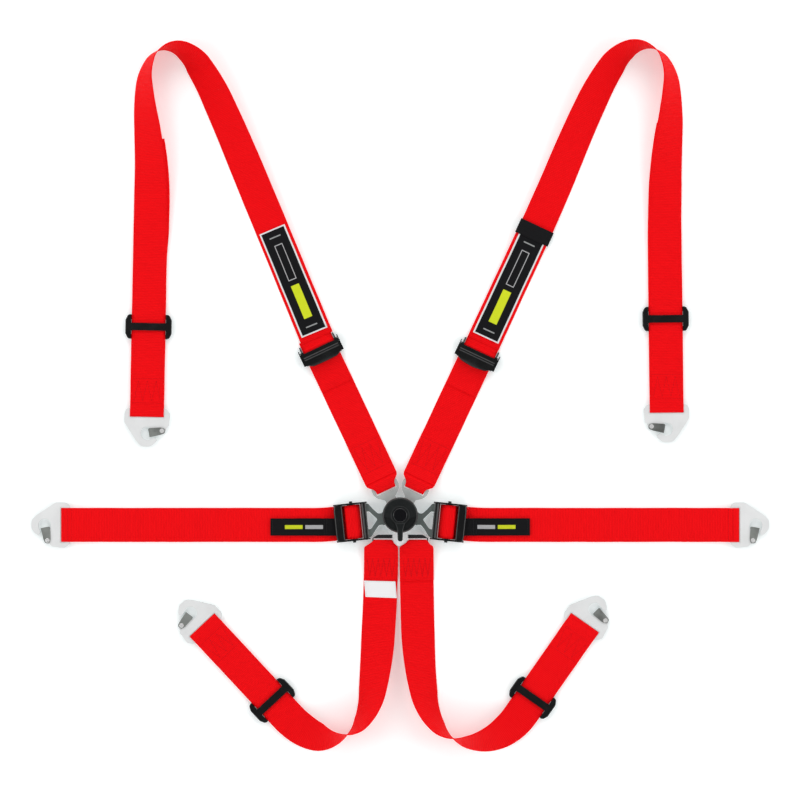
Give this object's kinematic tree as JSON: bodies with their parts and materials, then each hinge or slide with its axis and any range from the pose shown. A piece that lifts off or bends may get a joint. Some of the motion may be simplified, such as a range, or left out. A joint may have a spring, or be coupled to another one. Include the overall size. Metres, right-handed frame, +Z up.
{
  "type": "racing harness",
  "caption": "Racing harness laid flat: rotary cam-lock buckle with shoulder, lap and crotch straps, tilt adjusters and snap hooks.",
  "frame": {"origin": "centre of the buckle's back face, on the floor the harness lies on", "axes": "+Z up out of the knob, +Y towards the shoulder straps, +X along the lap strap on the right as seen from above"},
  "size_m": [1.0846, 1.0434, 0.0501],
  "materials": {
    "webbing_red": "polyester webbing, fine cross ribs, slight sheen",
    "tape_black": "narrow woven tape, matt",
    "patch_black": "smooth woven label stock, matt",
    "elastic_black": "ribbed elastic, matt",
    "satin_black": "satin black powder coat",
    "black_plastic": "fine moulded texture",
    "gloss_cap": "polished",
    "tongue_steel": "satin nickel",
    "tongue_dark": "dark phosphate",
    "zinc_plate": "bright zinc, lightly satin",
    "gate_steel": "grey passivated sheet",
    "inner_steel": "plain machined",
    "cast_alloy": "die-cast, tumbled"
  },
  "bodies": {
    "buckle": {"buckle_housing": "cast_alloy", "buckle_back_cover": "satin_black", "buckle_screws": "inner_steel", "spindle": "inner_steel", "return_spring": "inner_steel"},
    "knob": {"rotary_knob": "black_plastic", "knob_cap": "gloss_cap", "cam_plate": "inner_steel"},
    "plungers": {"latch_plungers": "inner_steel"},
    "shoulder_right_arm": {"shoulder_right_tongue": "tongue_steel", "shoulder_right_lower_web": "webbing_red", "shoulder_right_upper_web": "webbing_red", "shoulder_right_patch": "patch_black", "shoulder_right_hook": "zinc_plate", "shoulder_right_gate_pin": "zinc_plate", "keeper_band": "elastic_black"},
    "shoulder_left_arm": {"shoulder_left_tongue": "tongue_steel", "shoulder_left_lower_web": "webbing_red", "shoulder_left_upper_web": "webbing_red", "shoulder_left_patch": "patch_black", "shoulder_left_hook": "zinc_plate", "shoulder_left_gate_pin": "zinc_plate"},
    "lap_left_arm": {"lap_left_tongue": "tongue_dark", "lap_left_web": "webbing_red", "lap_left_hook": "zinc_plate", "lap_left_gate_pin": "zinc_plate"},
    "crotch_arm": {"crotch_tongue": "tongue_steel", "crotch_gate_pins": "zinc_plate", "crotch_left_web": "webbing_red", "crotch_left_hook": "zinc_plate", "crotch_right_web": "webbing_red", "crotch_right_hook": "zinc_plate"},
    "lap_right_arm": {"lap_right_tongue": "tongue_dark", "lap_right_web": "webbing_red", "lap_right_hook": "zinc_plate", "lap_right_gate_pin": "zinc_plate"},
    "shoulder_left_frame": {"shoulder_left_adjuster_frame": "satin_black"},
    "shoulder_left_lock": {"shoulder_left_lock_bar": "satin_black", "shoulder_left_wrap": "webbing_red"},
    "lap_left_frame": {"lap_left_adjuster_frame": "satin_black", "lap_left_pull_tab": "tape_black"},
    "lap_left_lock": {"lap_left_lock_bar": "satin_black", "lap_left_wrap": "webbing_red"},
    "shoulder_left_gate": {"shoulder_left_gate": "gate_steel"},
    "lap_left_gate": {"lap_left_gate": "gate_steel"},
    "crotch_left_gate": {"crotch_left_gate": "gate_steel"},
    "shoulder_left_slide": {"shoulder_left_slider": "satin_black"},
    "crotch_left_slide": {"crotch_left_slider": "satin_black"},
    "shoulder_right_frame": {"shoulder_right_adjuster_frame": "satin_black"},
    "shoulder_right_lock": {"shoulder_right_lock_bar": "satin_black", "shoulder_right_wrap": "webbing_red"},
    "lap_right_frame": {"lap_right_adjuster_frame": "satin_black", "lap_right_pull_tab": "tape_black"},
    "lap_right_lock": {"lap_right_lock_bar": "satin_black", "lap_right_wrap": "webbing_red"},
    "shoulder_right_gate": {"shoulder_right_gate": "gate_steel"},
    "lap_right_gate": {"lap_right_gate": "gate_steel"},
    "crotch_right_gate": {"crotch_right_gate": "gate_steel"},
    "shoulder_right_slide": {"shoulder_right_slider": "satin_black"},
    "crotch_right_slide": {"crotch_right_slider": "satin_black"}
  },
  "joints": [
    {"name": "knob_turn", "type": "hinge", "parent": "buckle", "child": "knob", "pos_m": [0, 0, 0.0174], "axis": [0, 0, 1], "range_deg": [0, 35]},
    {"name": "latch_lift", "type": "slide", "parent": "buckle", "child": "plungers", "axis": [0, 0, 1], "range_m": [0, 0.0036], "stiffness_N_per_m": 1000, "springref_m": -0.002},
    {"name": "shoulder_right_swivel", "type": "hinge", "parent": "buckle", "child": "shoulder_right_arm", "pos_m": [0.00882, 0.01213, 0.0085], "axis": [0, 0, 1], "range_deg": [-3, 3]},
    {"name": "shoulder_left_swivel", "type": "hinge", "parent": "buckle", "child": "shoulder_left_arm", "pos_m": [-0.00882, 0.01213, 0.0085], "axis": [0, 0, 1], "range_deg": [-3, 3]},
    {"name": "lap_left_swivel", "type": "hinge", "parent": "buckle", "child": "lap_left_arm", "pos_m": [-0.01427, -0.00464, 0.0085], "axis": [0, 0, 1], "range_deg": [-2.5, 2.5]},
    {"name": "crotch_swivel", "type": "hinge", "parent": "buckle", "child": "crotch_arm", "pos_m": [0, -0.015, 0.0085], "axis": [0, 0, 1], "range_deg": [-2.5, 2.5]},
    {"name": "lap_right_swivel", "type": "hinge", "parent": "buckle", "child": "lap_right_arm", "pos_m": [0.01427, -0.00464, 0.0085], "axis": [0, 0, 1], "range_deg": [-2.5, 2.5]},
    {"name": "shoulder_left_tilt", "type": "hinge", "parent": "shoulder_left_arm", "child": "shoulder_left_frame", "pos_m": [-0.11356, 0.23472, 0.005], "axis": [0.9048, 0.4258, 0], "range_deg": [0, 15], "stiffness_Nm_per_rad": 0.02, "springref_deg": -17.19},
    {"name": "shoulder_left_lock_slide", "type": "slide", "parent": "shoulder_left_frame", "child": "shoulder_left_lock", "axis": [0.4258, -0.9048, 0], "range_m": [0, 0.002]},
    {"name": "lap_left_tilt", "type": "hinge", "parent": "lap_left_arm", "child": "lap_left_frame", "pos_m": [-0.05106, -0.0085, 0.0085], "axis": [-0.1045, 0.9945, 0], "range_deg": [0, 30]},
    {"name": "lap_left_lock_slide", "type": "slide", "parent": "lap_left_frame", "child": "lap_left_lock", "axis": [0.9945, 0.1045, 0], "range_m": [0, 0.003]},
    {"name": "shoulder_left_gate_swing", "type": "hinge", "parent": "shoulder_left_arm", "child": "shoulder_left_gate", "pos_m": [-0.35002, 0.12342, 0.0032], "axis": [0, 0, -1], "range_deg": [0, 28], "stiffness_Nm_per_rad": 0.01, "springref_deg": -28.65},
    {"name": "lap_left_gate_swing", "type": "hinge", "parent": "lap_left_arm", "child": "lap_left_gate", "pos_m": [-0.51805, -0.03748, 0.0032], "axis": [0, 0, -1], "range_deg": [0, 28], "stiffness_Nm_per_rad": 0.01, "springref_deg": -28.65},
    {"name": "crotch_left_gate_swing", "type": "hinge", "parent": "crotch_arm", "child": "crotch_left_gate", "pos_m": [-0.32116, -0.16251, 0.0032], "axis": [0, 0, -1], "range_deg": [0, 28], "stiffness_Nm_per_rad": 0.01, "springref_deg": -28.65},
    {"name": "shoulder_left_slider_travel", "type": "slide", "parent": "shoulder_left_arm", "child": "shoulder_left_slide", "axis": [-0.0192, -0.9998, 0], "range_m": [-0.05, 0.04]},
    {"name": "crotch_left_slider_travel", "type": "slide", "parent": "crotch_arm", "child": "crotch_left_slide", "axis": [-0.682, 0.7314, 0], "range_m": [0, 0.045]},
    {"name": "shoulder_right_tilt", "type": "hinge", "parent": "shoulder_right_arm", "child": "shoulder_right_frame", "pos_m": [0.11037, 0.22794, 0.005], "axis": [0.9048, -0.4258, 0], "range_deg": [0, 15], "stiffness_Nm_per_rad": 0.02, "springref_deg": -17.19},
    {"name": "shoulder_right_lock_slide", "type": "slide", "parent": "shoulder_right_frame", "child": "shoulder_right_lock", "axis": [-0.4258, -0.9048, 0], "range_m": [0, 0.002]},
    {"name": "lap_right_tilt", "type": "hinge", "parent": "lap_right_arm", "child": "lap_right_frame", "pos_m": [0.05106, -0.0085, 0.0085], "axis": [-0.1045, -0.9945, 0], "range_deg": [0, 30]},
    {"name": "lap_right_lock_slide", "type": "slide", "parent": "lap_right_frame", "child": "lap_right_lock", "axis": [-0.9945, 0.1045, 0], "range_m": [0, 0.003]},
    {"name": "shoulder_right_gate_swing", "type": "hinge", "parent": "shoulder_right_arm", "child": "shoulder_right_gate", "pos_m": [0.36922, 0.12981, 0.0032], "axis": [0, 0, 1], "range_deg": [0, 28], "stiffness_Nm_per_rad": 0.01, "springref_deg": -28.65},
    {"name": "lap_right_gate_swing", "type": "hinge", "parent": "lap_right_arm", "child": "lap_right_gate", "pos_m": [0.51805, -0.03748, 0.0032], "axis": [0, 0, 1], "range_deg": [0, 28], "stiffness_Nm_per_rad": 0.01, "springref_deg": -28.65},
    {"name": "crotch_right_gate_swing", "type": "hinge", "parent": "crotch_arm", "child": "crotch_right_gate", "pos_m": [0.30138, -0.15512, 0.0032], "axis": [0, 0, 1], "range_deg": [0, 28], "stiffness_Nm_per_rad": 0.01, "springref_deg": -28.65},
    {"name": "shoulder_right_slider_travel", "type": "slide", "parent": "shoulder_right_arm", "child": "shoulder_right_slide", "axis": [0.0122, -0.9999, 0], "range_m": [-0.05, 0.04]},
    {"name": "crotch_right_slider_travel", "type": "slide", "parent": "crotch_arm", "child": "crotch_right_slide", "axis": [0.5736, 0.8192, 0], "range_m": [0, 0.045]}
  ],
  "couplings": [
    {"joint": "knob_turn", "follows": "latch_lift", "rad_per_m": 169.68}
  ]
}
